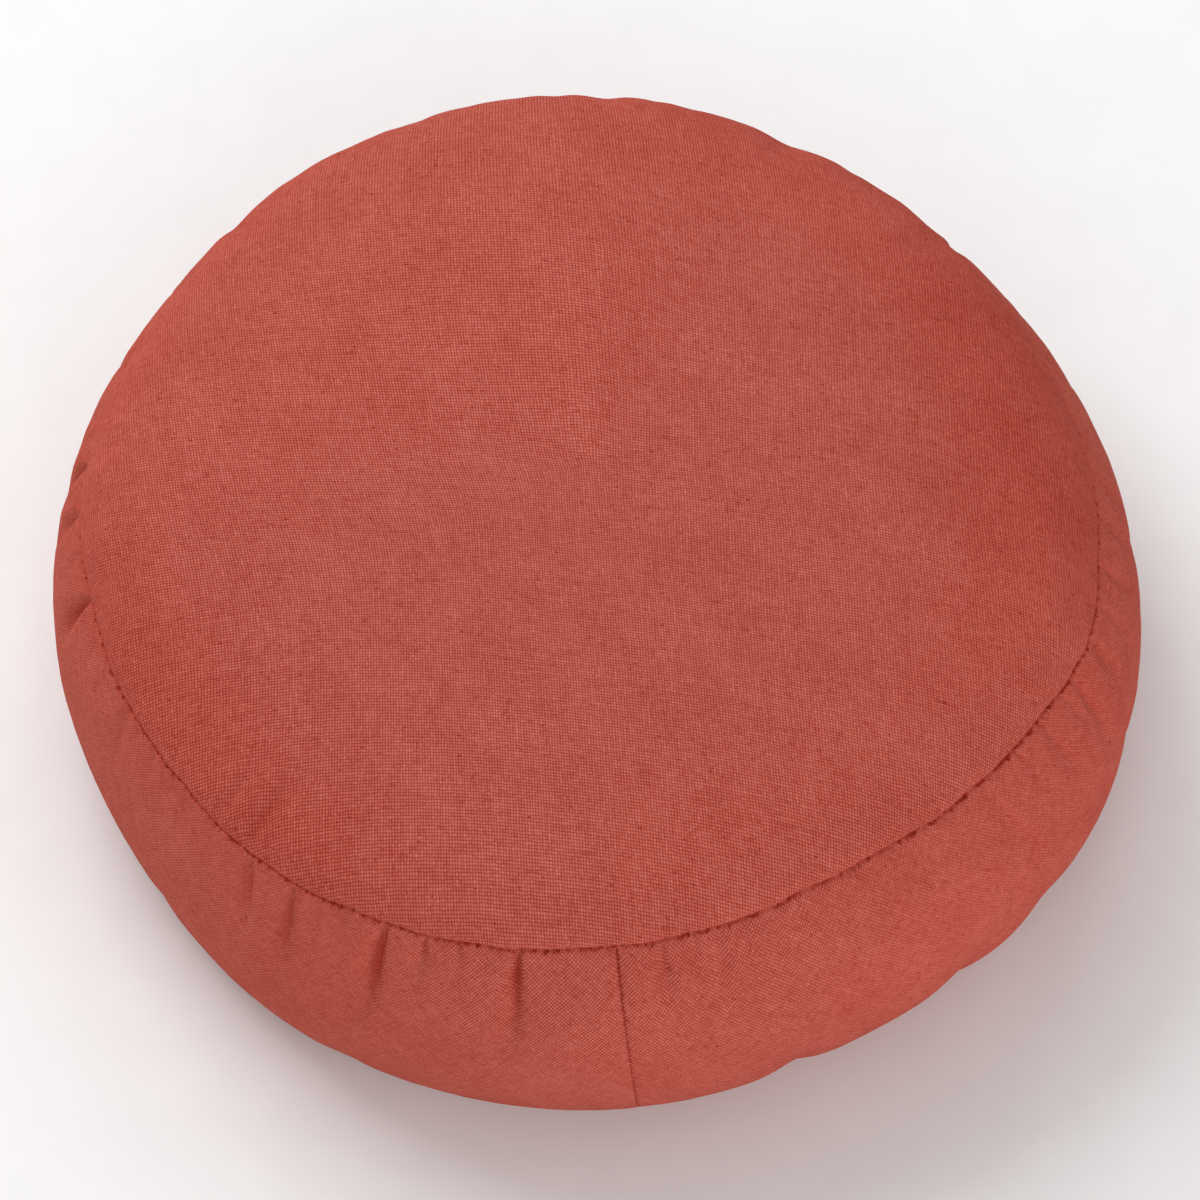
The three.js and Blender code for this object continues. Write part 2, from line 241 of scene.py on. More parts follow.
def gather_depth(rows, angle, share, radius, lopsided):
    """Depth of gathers at a share of the band's height away from their seam."""
    bend, end = GATHER_END
    depth = np.zeros(np.broadcast(angle, share).shape)
    for row in rows:
        along = np.minimum(share / row.reach, 1)
        arc = np.radians(between(row.angle + row.lean * along, angle)) * radius
        side = 1 - lopsided * row.skew * np.sign(arc)
        width = GATHER_NECK + (1 - GATHER_NECK) * np.minimum(along / GATHER_OPEN, 1)
        width = row.half_width * side * width
        opening = np.minimum(along / GATHER_START, 1) ** 0.5
        depth += row.depth * opening * trough(arc / width) * (1 - along**bend) ** end
    return depth


def dent_depth(angle, share, radius):
    inward = 1 - share
    depth = np.zeros(np.broadcast(angle, share).shape)
    for row in PANEL_DENTS:
        arc = np.radians(between(row.angle, angle)) * radius
        opening = np.minimum(inward / (row.reach * DENT_START), 1)
        depth += row.depth * opening * trough(arc / row.half_width) * fade(inward / row.reach)
    return depth


def channel(distance, shape):
    depth, width = shape
    return depth * np.exp(-np.abs(distance) / width)


def crown_share(level, shoulder):
    """Share of the seam's radius at which the crown has a level: 1 in the middle, 0 on the seam."""
    return np.sqrt(np.clip(1 - level ** (1 / shoulder), 0, 1))


def swell(share):
    """How far the band stands out, from 0 on its seams to 1, leaving the top seam at a soft slope."""
    skewed = share ** (math.log(0.5) / math.log(BULGE_LEVEL))
    reach, power = BULGE_SOFT
    soft = (share / (share + reach)) ** power
    return np.clip(4 * skewed * (1 - skewed), 0, None) ** BULGE_FULLNESS * soft


def running_length(x, y):
    return np.concatenate([[0], np.cumsum(np.hypot(np.diff(x), np.diff(y)))])


# Length of cloth along the mean section, in steps that are finest at the seams
CROWN_LEVELS = np.sin(np.linspace(0, math.pi / 2, 2001)) ** 2
CROWN_RUN = running_length(
    MEAN_RADIUS * crown_share(CROWN_LEVELS, MEAN_SHOULDER), MEAN_RISE * CROWN_LEVELS)
UPPER_SHARES = np.linspace(0, 1, 4001) ** 2 / 2
BAND_SHARES = np.concatenate([UPPER_SHARES, 1 - UPPER_SHARES[-2::-1]])
BAND_RUN = running_length(MEAN_BULGE * swell(BAND_SHARES), MEAN_BAND * BAND_SHARES)


def crown_level_at(distance):
    """Level of the crown at a distance along the cloth from the top seam."""
    return np.interp(distance, CROWN_RUN, CROWN_LEVELS)


def band_share_at(distance):
    return np.interp(distance, BAND_RUN, BAND_SHARES)


def polar(angle, radius, height):
    turned = np.radians(angle)
    return np.stack([radius * np.cos(turned), radius * np.sin(turned), height], -1)


def crown_dents(turns, distance):
    """How deep the crown is dented at a distance along the cloth from the top seam."""
    angle = CLOSING_ANGLE + turns
    share = crown_share(crown_level_at(distance), around("shoulder", angle))
    return dent_depth(angle, share, around("seam_radius", angle))


def crown_point(turns, distance):
    """Points of the crown at a distance along the cloth from the top seam."""
    angle = CLOSING_ANGLE + turns
    level = crown_level_at(distance)
    share = crown_share(level, around("shoulder", angle))
    slope, length = SHOULDER_SOFT
    radius = around("seam_radius", angle) * share - slope * distance * math.exp(-distance / length)
    radius = radius - channel(distance, PANEL_CHANNEL) * shares_at(CHANNEL_SHARES, angle)
    seam = around("seam_height", angle)
    height = seam + (CROWN_TOP - seam) * level - crown_dents(turns, distance)
    near = math.exp(-distance / SEAM_FADE)
    radius = radius + near * seam_out(angle)
    return polar(angle, np.maximum(radius, 0), height + near * waver(angle, UP_AND_DOWN))


def band_folds(turns, share, lopsided=1.0):
    """How deep the gathers and the closing seam sink at a share of the band's height."""
    angle = CLOSING_ANGLE + CLOSING_LEAN * share + turns
    radius = around("seam_radius", angle)
    depth = GATHER_FORCE * gather_depth(TOP_GATHERS + PUCKERS, angle, share, radius, lopsided)
    depth += gather_depth(UNDER_GATHERS, angle, 1 - share, radius, lopsided)
    arc = np.radians(between(0, turns)) * radius
    ends = min(share, 1 - share, CLOSING_START) / CLOSING_START * math.exp(-share / CLOSING_FADE)
    return depth + ends * (
        CLOSING_DEPTH * trough(arc / CLOSING_WIDTH) + channel(arc, CLOSING_CHANNEL))


def band_point(turns, distance):
    """Points of the band at a distance along the cloth from the top seam."""
    share = band_share_at(distance)
    angle = CLOSING_ANGLE + CLOSING_LEAN * share + turns
    radius = around("seam_radius", angle)
    top = around("seam_height", angle)
    height = top + (UNDER_SEAM_HEIGHT - top) * share
    depth = band_folds(turns, share)
    depth += channel(distance, BAND_CHANNEL) * shares_at(CHANNEL_SHARES, angle)
    depth += channel(BAND_RUN[-1] - distance, UNDER_CHANNEL)
    near = math.exp(-distance / SEAM_FADE)
    depth -= near * seam_out(angle)
    bulge = around("bulge", angle) * swell(share)
    radius = radius - UNDER_SEAM_TUCK * share + bulge - depth
    return polar(angle, radius, height + near * waver(angle, UP_AND_DOWN))


def under_point(turns, distance):
    """Points of the underside at a distance inwards from the under seam."""
    angle = CLOSING_ANGLE + CLOSING_LEAN + turns
    share = 1 - distance / (MEAN_RADIUS - UNDER_SEAM_TUCK)
    curl = max(share - REST_SHARE, 0) / (1 - REST_SHARE)
    height = UNDER_SEAM_HEIGHT * (1 - math.sqrt(max(1 - curl**2, 0)))
    radius = (around("seam_radius", angle) - UNDER_SEAM_TUCK) * share
    return polar(angle, radius - channel(distance, UNDER_CHANNEL) * share, height + 0 * angle)


def cloth_point(turns, distance):
    """Points of the unsettled cloth, on the crown for a distance below 0 and else on the band."""
    return crown_point(turns, -distance) if distance < 0 else band_point(turns, distance)


def grid_distances():
    """Distances of the grid's rows from the top seam, below 0 on the crown."""
    row = np.arange(GRID_CROWN_ROWS, 0, -1)
    first, growth = GRID_CROWN_STEP
    return np.concatenate([
        -(first * row + growth * row**2), np.linspace(0, BAND_RUN[-1], GRID_BAND_ROWS + 1)])


def outward_frame(points):
    """Level directions outward and round at each point."""
    outward = points * [1, 1, 0]
    outward = outward / np.maximum(np.linalg.norm(outward, axis=-1, keepdims=True), 0.001)
    round_way = np.stack([-outward[..., 1], outward[..., 0], 0 * outward[..., 0]], -1)
    return outward, round_way


def simulated(start, pinned, still):
    """The grid's points after simulation under pressure, with extra cloth where still is below 1."""
    rows, columns, _ = start.shape
    faces = []
    for first in range(0, (rows - 1) * columns, columns):
        for k in range(columns):
            after = (k + 1) % columns
            faces.append([first + k, first + columns + k, first + columns + after, first + after])
    trial = mesh_object("trial", start.reshape(-1, 3) * GRID_SCALE, faces)
    for label, weights in (("pinned", pinned), ("still", still)):
        group = trial.vertex_groups.new(name=label)
        for k, weight in enumerate(weights.ravel()):
            group.add([k], float(weight), "REPLACE")
    cloth = trial.modifiers.new("cloth", "CLOTH")
    cloth.settings.mass = 0.3
    cloth.settings.tension_stiffness = cloth.settings.compression_stiffness = 80
    cloth.settings.shear_stiffness = 20
    cloth.settings.bending_stiffness = 0.1
    cloth.settings.use_pressure = True
    cloth.settings.uniform_pressure_force = GRID_PRESSURE
    cloth.settings.vertex_group_mass = "pinned"
    cloth.settings.vertex_group_shrink = "still"
    cloth.settings.shrink_min = -FULLNESS
    cloth.settings.shrink_max = 0
    cloth.settings.effector_weights.gravity = 0
    cloth.collision_settings.use_collision = False
    cloth.point_cache.frame_start, cloth.point_cache.frame_end = 1, GRID_FRAMES
    for frame_number in range(1, GRID_FRAMES + 1):
        bpy.context.scene.frame_set(frame_number)
    settled = trial.evaluated_get(bpy.context.evaluated_depsgraph_get()).data
    places = np.empty(rows * columns * 3, np.float32)
    settled.vertices.foreach_get("co", places)
    bpy.data.objects.remove(trial)
    bpy.context.scene.frame_set(1)
    return places.reshape(start.shape).astype(float) / (GRID_SCALE * MM)


def settled_moves(distances):
    """How far the simulation moves the grid outward, round and up, without the cushion's slow waves."""
    turns = np.arange(GRID_COLUMNS) * TURN / GRID_COLUMNS
    start = np.array([cloth_point(turns, at) for at in distances])
    start += np.random.default_rng(3).normal(0, GRID_JITTER, start.shape)
    at = distances[:, None] + 0 * turns
    hold, share, way = CROWN_HOLD
    pinned = np.where(at < 0, hold * (share + (1 - share) * np.clip(-at / way, 0, 1)), 0)
    pinned[GRID_CROWN_ROWS] = SEAM_HOLD
    pinned[[0, -1]] = 1
    spread = shares_at(FULLNESS_SHARES, CLOSING_ANGLE + turns)
    full, fading = FULLNESS_FADE
    down = 1 - np.clip((at / BAND_RUN[-1] - full) / fading, 0, 1)
    moved = simulated(start, pinned, np.where(at > 0, 1 - spread * down, 1)) - start
    outward, round_way = outward_frame(start)
    moves = np.stack([(moved * outward).sum(-1), (moved * round_way).sum(-1), moved[..., 2]], -1)
    waves = np.fft.rfft(moves, axis=1)
    waves[:, :GRID_SMOOTH_WAVES] = 0
    moves = np.fft.irfft(waves, GRID_COLUMNS, axis=1)
    moves = (np.roll(moves, 1, 1) + 2 * moves + np.roll(moves, -1, 1)) / 4
    return np.clip(moves, -MOVE_CAP, MOVE_CAP)


def spline_weights(part):
    """Weights of the four neighbours that a smooth curve through them has between the middle two."""
    return [((2 - part) * part - 1) * part / 2, ((3 * part - 5) * part * part + 2) / 2,
            ((4 - 3 * part) * part + 1) * part / 2, (part - 1) * part * part / 2]


def settled_move(turns, distance):
    """Moves outward, round and up that the simulation gives to points of the cloth."""
    if distance <= GRID_AT[0] or GRID_MOVES is None:
        return np.zeros((len(turns), 3))
    row = float(np.interp(distance, GRID_AT, np.arange(len(GRID_AT))))
    base = min(int(row), len(GRID_AT) - 2)
    picks = np.clip([base - 1, base, base + 1, base + 2], 0, len(GRID_AT) - 1)
    line = sum(w * GRID_MOVES[pick] for w, pick in zip(spline_weights(row - base), picks))
    column = np.mod(turns, TURN) * GRID_COLUMNS / TURN
    left = np.floor(column).astype(int)
    return sum(w[..., None] * line[(left + k - 1) % GRID_COLUMNS]
               for k, w in enumerate(spline_weights(column - left)))


def surface_point(turns, distance):
    """The same points of the settled cloth."""
    points = cloth_point(turns, distance)
    move = settled_move(turns, distance)
    outward, round_way = outward_frame(points)
    return points + outward * move[..., :1] + round_way * move[..., 1:2] + [0, 0, 1] * move[..., 2:]


# Rings of the mesh: how far from the seam along the cloth, and how many corners. The corners are
# closer together at the front, and closest by the closing seam.
FULL = 1440
FRONT_EXTRA = 0.25
CLOSING_EXTRA = (4, 4)            # how many more, and the distance in which that fades
SEAM_STEPS = [0.3, 0.6, 1.0, 1.5, 2.2, 3.1, 4.2]
CROWN_END = float(CROWN_RUN[-1])
BAND_END = float(BAND_RUN[-1])
UNDER_END = MEAN_RADIUS - UNDER_SEAM_TUCK
STITCHES = 300                    # round each of the two long seams
WEFT_TURN = -6.2                  # how far a round panel's crosswise yarns are turned
WARP_TURN = 3.4                   # the same for its lengthwise yarns
BAND_CLOTH_RADIUS = 203           # radius that the band's cloth is laid round
BAND_CLOTH_SCALE = 1.09           # its length for each length down the band
FAR = 1000                        # a distance at which a seam shows no more

Edge = namedtuple("Edge", "distance corners")
Ring = namedtuple("Ring", "first corners maps")
Patch = namedtuple("Patch", "edges point cloth side end")


def edges(*runs):
    """Edges from runs of (first, last, how many, corners), without the first of each run."""
    made = []
    for first, last, count, corners in runs:
        made += [Edge(float(at), corners) for at in np.linspace(first, last, count + 1)[1:]]
    return made


SEAM_EDGES = [Edge(at, FULL) for at in (0, *SEAM_STEPS)]
CROWN_EDGES = SEAM_EDGES + edges(
    (SEAM_STEPS[-1], 32, 15, 720), (32, 104, 18, 360), (104, 160, 8, 180), (160, CROWN_END - 8, 4, 90))
BAND_EDGES = SEAM_EDGES + edges((SEAM_STEPS[-1], BAND_END - 6, 52, 720))
BAND_EDGES += [Edge(BAND_END - at, 720) for at in (4, 2.6, 1.6, 0.9, 0.4, 0)]
UNDER_EDGES = [Edge(at, 720) for at in (0, 0.4, 1, 1.9, 3, 5, 8, 12, 18, 28)] + edges(
    (28, 110, 9, 360), (110, UNDER_END - 12, 4, 90))


def spread_turns():
    """Angles from the closing seam, all the way round, in shorter steps beside that seam."""
    turn = np.linspace(0, TURN, 20001)
    arc = np.radians(np.minimum(turn, TURN - turn)) * MEAN_RADIUS
    extra, reach = CLOSING_EXTRA
    density = 1 + FRONT_EXTRA * np.cos(np.radians(turn)) + extra * np.exp(-((arc / reach) ** 2))
    run = np.concatenate([[0], np.cumsum((density[1:] + density[:-1]) / 2)])
    return np.interp(np.linspace(0, run[-1], FULL + 1), run, turn)


TURNS = spread_turns()


def panel_cloth(angle, run):
    """Place in the cloth of a round panel, at a length of cloth from its middle."""
    reach = run * around("seam_radius", angle) / MEAN_RADIUS
    across = reach * np.cos(np.radians(angle - WARP_TURN))
    along = reach * np.sin(np.radians(angle - WEFT_TURN))
    return np.stack([across, along], -1)


def crown_cloth(turns, distance):
    return panel_cloth(CLOSING_ANGLE + turns, CROWN_END - distance)


def under_cloth(turns, distance):
    return panel_cloth(CLOSING_ANGLE + CLOSING_LEAN + turns, UNDER_END - distance)


def band_cloth(turns, distance):
    """Place in the cloth of the band, which is cut on the bias."""
    along = np.radians(turns) * BAND_CLOTH_RADIUS
    down = distance * BAND_CLOTH_SCALE
    return np.stack([along + down, along - down], -1) * math.sqrt(0.5)


def fold_depth(patch, edge, turns):
    """How deep in a fold each point of a ring lies, in millimetres."""
    if patch.cloth is under_cloth:
        return np.zeros(len(turns))
    if patch.cloth is crown_cloth:
        return crown_dents(turns, edge.distance) - settled_move(turns, -edge.distance)[:, 0]
    folds = band_folds(turns, band_share_at(edge.distance), SHADE_LOPSIDED)
    return folds - settled_move(turns, edge.distance)[:, 0]


def ring_maps(patch, edge, turns):
    """Maps of one ring: its place in the cloth, on the nearest long seam and by the closing seam,
    how deep it lies in a fold and how far below the top seam, or below 0 on the round panels."""
    distance = patch.side * min(edge.distance, patch.end - edge.distance)
    sideways = np.radians(np.where(turns > TURN / 2, turns - TURN, turns)) * MEAN_RADIUS
    if patch.side < 0:
        sideways = np.full(len(turns), FAR)
    sunk = fold_depth(patch, edge, turns)
    return {
        "cloth": patch.cloth(turns, edge.distance),
        "seam": np.stack([turns * STITCHES / TURN, np.full(len(turns), distance)], -1),
        "closing": np.stack([sideways, np.full(len(turns), edge.distance)], -1),
        "fold": np.stack([sunk, np.full(len(turns), patch.side * edge.distance)], -1),
    }


def faces_between(upper, lower):
    """Faces from one ring down to the next, of which one may have several times the corners."""
    fine, coarse = (upper, lower) if upper.corners >= lower.corners else (lower, upper)
    ratio = fine.corners // coarse.corners
    for k in range(coarse.corners):
        if ratio == 1:
            yield [(upper, k), (lower, k), (lower, k + 1), (upper, k + 1)]
            continue
        half = ratio // 2
        made = [[(fine, ratio * k + step), (coarse, k if step < half else k + 1),
                 (fine, ratio * k + step + 1)] for step in range(ratio)]
        if coarse.corners > 1:
            made.append([(coarse, k), (coarse, k + 1), (fine, ratio * k + half)])
        for face in made:
            yield face if fine is upper else face[::-1]


def mesh_object(name, points, faces, maps=None):
    """An object whose mesh is given in millimetres, with a UV map for each named map."""
    mesh = bpy.data.meshes.new(name)
    mesh.from_pydata((np.asarray(points, float) * MM).tolist(), [], faces)
    for label, places in (maps or {}).items():
        layer = mesh.uv_layers.new(name=label)
        layer.data.foreach_set("uv", np.asarray(places, np.float32).ravel())
    mesh.polygons.foreach_set("use_smooth", [True] * len(faces))
    mesh.update()
    made = bpy.data.objects.new(name, mesh)
    bpy.context.scene.collection.objects.link(made)
    return made


def settled_crown(turns, distance):
    return surface_point(turns, -distance)


def cushion_surface():
    """Points, faces and maps of the whole cushion. A patch starts on the ring that ends the last."""
    crown = Patch([Edge(CROWN_END, 1), *CROWN_EDGES[::-1]], settled_crown, crown_cloth, -1, FAR)
    band = Patch(BAND_EDGES, surface_point, band_cloth, 1, BAND_END)
    under = Patch([*UNDER_EDGES, Edge(UNDER_END, 1)], under_point, under_cloth, -1, FAR)
    points, faces = [], []
    maps = {"cloth": [], "seam": [], "closing": [], "fold": []}
    last = None
    for patch in (crown, band, under):
        for edge in patch.edges:
            turns = TURNS[:: FULL // edge.corners] if edge.corners > 1 else np.zeros(2)
            starts = last is None or edge is patch.edges[0]
            first = len(points) if last is None or not starts else last.first
            if last is None or not starts:
                points.extend(patch.point(turns[:-1], edge.distance))
            ring = Ring(first, edge.corners, ring_maps(patch, edge, turns))
            for face in () if starts else faces_between(last, ring):
                faces.append([side.first + k % side.corners for side, k in face])
                for label, places in maps.items():
                    places += [side.maps[label][k] for side, k in face]
            last = ring
    return np.array(points), faces, maps


# Threads
THREAD_SIDES = 6
THREAD_END = 0.4                  # share of its radius that a thread has at its ends
ASIDE = (0.31, 0.17, 0.93)        # a direction that no thread runs in
STITCH_STEPS = (-1, -0.6, 0, 0.6, 1)
STITCH_DIP = 0.35                 # how far the ends of a stitch go into the cloth
# Steps along a crossing stitch, their distances from the seam and lifts
CROSSING_STEPS = [(-1, -0.6, -0.25), (-0.5, -0.2, 0), (0, 0.02, 0.3), (0.5, 0.25, 0.1), (1, 0.6, -0.25)]


def tubes(name, paths, radii):
    """Threads as one joined mesh: paths is (threads, points, 3), and each thread has its radius."""
    sides = THREAD_SIDES
    count, steps, _ = paths.shape
    ahead = np.gradient(paths, axis=1)
    ahead /= np.linalg.norm(ahead, axis=2, keepdims=True)
    across = np.cross(ahead, ASIDE)
    across /= np.linalg.norm(across, axis=2, keepdims=True)
    third = np.cross(ahead, across)
    taper = np.ones(steps)
    taper[[0, -1]] = THREAD_END
    size = np.asarray(radii)[:, None] * taper[None, :]
    turned = (np.arange(sides) * 2 * math.pi / sides)[:, None]
    spokes = across[:, :, None] * np.cos(turned) + third[:, :, None] * np.sin(turned)
    points = (paths[:, :, None] + spokes * size[:, :, None, None]).reshape(-1, 3)
    faces = []
    for first in range(0, count * steps * sides, steps * sides):
        for low in range(first, first + (steps - 1) * sides, sides):
            for k in range(sides):
                after = (k + 1) % sides
                faces.append([low + k, low + after, low + sides + after, low + sides + k])
        faces.append([first + k for k in range(sides)][::-1])
        faces.append([first + (steps - 1) * sides + k for k in range(sides)])
    return mesh_object(name, points, faces)


def seam_point(turns, distance, lift):
    """Points just off the cloth, which are lifted outwards and a little up or down."""
    place = surface_point(turns, distance)
    outward, _ = outward_frame(place)
    rise = 0.1 if distance < 0 else 0.4 if distance < BAND_END / 2 else -0.4
    return place + (outward + [0, 0, rise]) * np.asarray(lift)[..., None]


def stitch_paths(centres, half, distance, lifts):
    """Stitches along a long seam: each comes out of the cloth, lies on it and goes back in."""
    return np.stack([seam_point(centres + half * step, distance, lifts - STITCH_DIP * step**4)
                     for step in STITCH_STEPS], 1)


def crossing_paths(centres, slants):
    """Stitches that cross the top seam, from the crown's edge over to the band's."""
    return np.stack([seam_point(centres + slants * part, distance, lift)
                     for part, distance, lift in CROSSING_STEPS], 1)


def loose_paths(centres, slants, length):
    """Short loose ends that hang from the top seam over the band."""
    return np.stack([seam_point(centres + slants * part**2, 0.1 + length * part,
                                0.25 + 0.5 * part * (1 - part) + 0.1 * part)
                     for part in (0, 0.3, 0.55, 0.8, 1)], 1)


def closing_paths(starts, length, lifts):
    """Stitches down the closing seam."""
    on_seam = np.zeros(1)
    return np.array([
        [seam_point(on_seam, start + length * (part + 1) / 2, lift - STITCH_DIP * part**4)[0]
         for part in STITCH_STEPS] for start, lift in zip(starts, lifts)])


class Shade:
    """A material whose nodes are added by short calls; sockets and numbers are given alike."""

    def __init__(self, name):
        self.material = bpy.data.materials.new(name)
        self.material.use_nodes = True
        self.tree = self.material.node_tree
        self.surface = self.tree.nodes["Principled BSDF"]

    def put(self, socket, value):
        if isinstance(value, bpy.types.NodeSocket):
            self.tree.links.new(value, socket)
        else:
            socket.default_value = value

    def node(self, kind, inputs=(), **settings):
        made = self.tree.nodes.new(kind)
        for name, value in settings.items():
            setattr(made, name, value)
        for key, value in dict(inputs).items():
            self.put(made.inputs[key], value)
        return made

    def math(self, operation, *values):
        return self.node("ShaderNodeMath", enumerate(values), operation=operation).outputs[0]

    def product(self, *values):
        return reduce(lambda made, value: self.math("MULTIPLY", made, value), values)

    def total(self, *values):
        return reduce(lambda made, value: self.math("ADD", made, value), values)

    def map(self, value, start, end, low=0, high=1, kind="LINEAR"):
        inputs = {"Value": value, "From Min": start, "From Max": end, "To Min": low, "To Max": high}
        return self.node("ShaderNodeMapRange", inputs, interpolation_type=kind).outputs[0]

    def ease(self, value, start, end, low=0, high=1):
        """The same as map, with soft ends."""
        return self.map(value, start, end, low, high, "SMOOTHSTEP")

    def mix(self, share, low, high):
        return self.node("ShaderNodeMix", {0: share, 2: low, 3: high}).outputs[0]

    def noise(self, x, y, detail=0):
        place = self.node("ShaderNodeCombineXYZ", {"X": x, "Y": y}).outputs[0]
        inputs = {"Vector": place, "Scale": 1, "Detail": detail, "Roughness": 0.55}
        return self.node("ShaderNodeTexNoise", inputs, noise_dimensions="2D").outputs[0]

    def chance(self, number):
        """A random value for each number."""
        return self.node("ShaderNodeTexWhiteNoise", {"W": number}, noise_dimensions="1D").outputs[0]

    def hump(self, value, middle, width):
        """1 at the middle, and falling away evenly on both sides over about the width."""
        offset = self.math("DIVIDE", self.math("SUBTRACT", value, middle), width)
        square = self.math("MULTIPLY", offset, offset)
        return self.math("EXPONENT", self.math("MULTIPLY", square, -1))

    def ramp(self, value, *stops):
        """A colour that runs from the first of its stops to the last, each given as place, colour."""
        made = self.node("ShaderNodeValToRGB", {0: value})
        elements = made.color_ramp.elements
        for element, (place, colour) in zip(elements, (stops[0], stops[-1])):
            element.position, element.color = place, colour
        for place, colour in stops[1:-1]:
            elements.new(place).color = colour
        return made.outputs[0]

    def deepened(self, colour, share, times):
        made = self.node("ShaderNodeMix", {0: share, 6: colour, 7: times},
                         data_type="RGBA", blend_type="MULTIPLY")
        return made.outputs[2]

    def uv(self, name):
        place = self.node("ShaderNodeUVMap", uv_map=name).outputs[0]
        parts = self.node("ShaderNodeSeparateXYZ", {"Vector": place})
        return parts.outputs[0], parts.outputs[1]

    def finished(self, inputs):
        for name, value in inputs.items():
            self.put(self.surface.inputs[name], value)
        return self.material


WARP_PITCH = 1.02
WEFT_PITCH = 1.11
YARN_DRIFT = 0.18                 # how far a yarn wanders, as a share of its pitch
CLOTH_DEEP = (0.262, 0.023, 0.0117, 1)
CLOTH_MIDDLE = (0.468, 0.0935, 0.066, 1)
CLOTH_LIGHT = (0.679, 0.218, 0.172, 1)
CLOTH_SIDE_SHADE = (1, 0.80, 0.74, 1)   # painted shade: multiplies the colour on the sides
CLOTH_FOLD_SHADE = (1, 0.66, 0.54, 1)   # painted shade: the same, deep in folds
SHEEN = (1, 0.45, 0.36, 1)
THREAD = (0.27, 0.022, 0.011, 1)
THREAD_DEEP = (0.162, 0.0132, 0.0066, 1)
YARN_RELIEF = 0.22                # yarns stand out
DIMPLE_RELIEF = -0.45             # dimples sink in
CLOSING_RELIEF = -0.25

Place = namedtuple("Place", "x y stitch away from_back on_left sunk below sideways down")
Weave = namedtuple("Weave", "height tone puff slub speck blotch patch")
Sewing = namedtuple("Sewing", "dark flat dimple closing_dimple")
Sides = namedtuple("Sides", "in_fold beside on_band shift")


def mapped_place(shade):
    """Where the surface is: in the cloth, on and away from the nearest long seam, in a fold, below
    the top seam, and by the closing seam. Stitches are counted from the closing seam."""
    x, y = shade.uv("cloth")
    stitch, away = shade.uv("seam")
    sunk, below = shade.uv("fold")
    sideways, down = shade.uv("closing")
    from_back = shade.math("ABSOLUTE", shade.math("SUBTRACT", stitch, STITCHES / 2))
    on_left = shade.math("GREATER_THAN", stitch, STITCHES / 2)
    return Place(x, y, stitch, away, from_back, on_left, sunk, below, sideways, down)


def plain_weave(shade, place):
    """Yarns that wander a little, and lie over and under each other by turns. Each yarn has its own
    tone, and some swell into dark slubs."""
    x, y = place.x, place.y
    u = shade.math("DIVIDE", x, WARP_PITCH)
    v = shade.math("DIVIDE", y, WEFT_PITCH)
    drift_u = shade.noise(shade.product(u, 0.9), shade.product(v, 0.3))
    drift_v = shade.noise(shade.product(u, 0.3), shade.product(v, 0.9))
    u = shade.total(u, shade.map(drift_u, 0, 1, -YARN_DRIFT, YARN_DRIFT))
    v = shade.total(v, shade.map(drift_v, 0, 1, -YARN_DRIFT, YARN_DRIFT))
    wave_u = shade.math("SINE", shade.product(u, math.pi))
    wave_v = shade.math("SINE", shade.product(v, math.pi))
    warp_over = shade.math("GREATER_THAN", shade.product(wave_u, wave_v), 0)
    round_u = shade.math("ABSOLUTE", wave_u)
    round_v = shade.math("ABSOLUTE", wave_v)
    warp_height = shade.product(shade.math("POWER", round_u, 0.75), shade.map(round_v, 0, 1, 0.55, 1))
    weft_height = shade.product(shade.math("POWER", round_v, 0.6), shade.map(round_u, 0, 1, 0.5, 0.95))
    warp_number = shade.math("FLOOR", u)
    weft_number = shade.math("FLOOR", v)
    warp_tone = shade.noise(shade.product(warp_number, 5.3), shade.product(v, 0.14))
    weft_tone = shade.noise(shade.product(u, 0.12), shade.product(weft_number, 4.7))
    crossing = shade.node("ShaderNodeCombineXYZ", {"X": warp_number, "Y": weft_number}).outputs[0]
    puff = shade.node("ShaderNodeTexWhiteNoise", {"Vector": crossing}, noise_dimensions="2D")
    weft_slub = shade.ease(
        shade.noise(shade.product(u, 0.23), shade.total(shade.product(weft_number, 3.7), 40)),
        0.72, 0.90)
    warp_slub = shade.ease(
        shade.noise(shade.total(shade.product(warp_number, 3.1), 90), shade.product(v, 0.3)),
        0.75, 0.92)
    return Weave(
        height=shade.mix(warp_over, weft_height, warp_height),
        tone=shade.mix(warp_over, weft_tone, warp_tone),
        puff=puff.outputs[0],
        slub=shade.math("MAXIMUM", weft_slub, shade.product(warp_slub, 0.7)),
        speck=shade.ease(shade.noise(shade.product(x, 0.45), shade.product(y, 0.8)), 0.84, 0.90),
        blotch=shade.noise(shade.product(x, 0.035), shade.product(y, 0.035), 3),
        patch=shade.noise(shade.product(x, 0.22), shade.product(y, 0.22), 2))


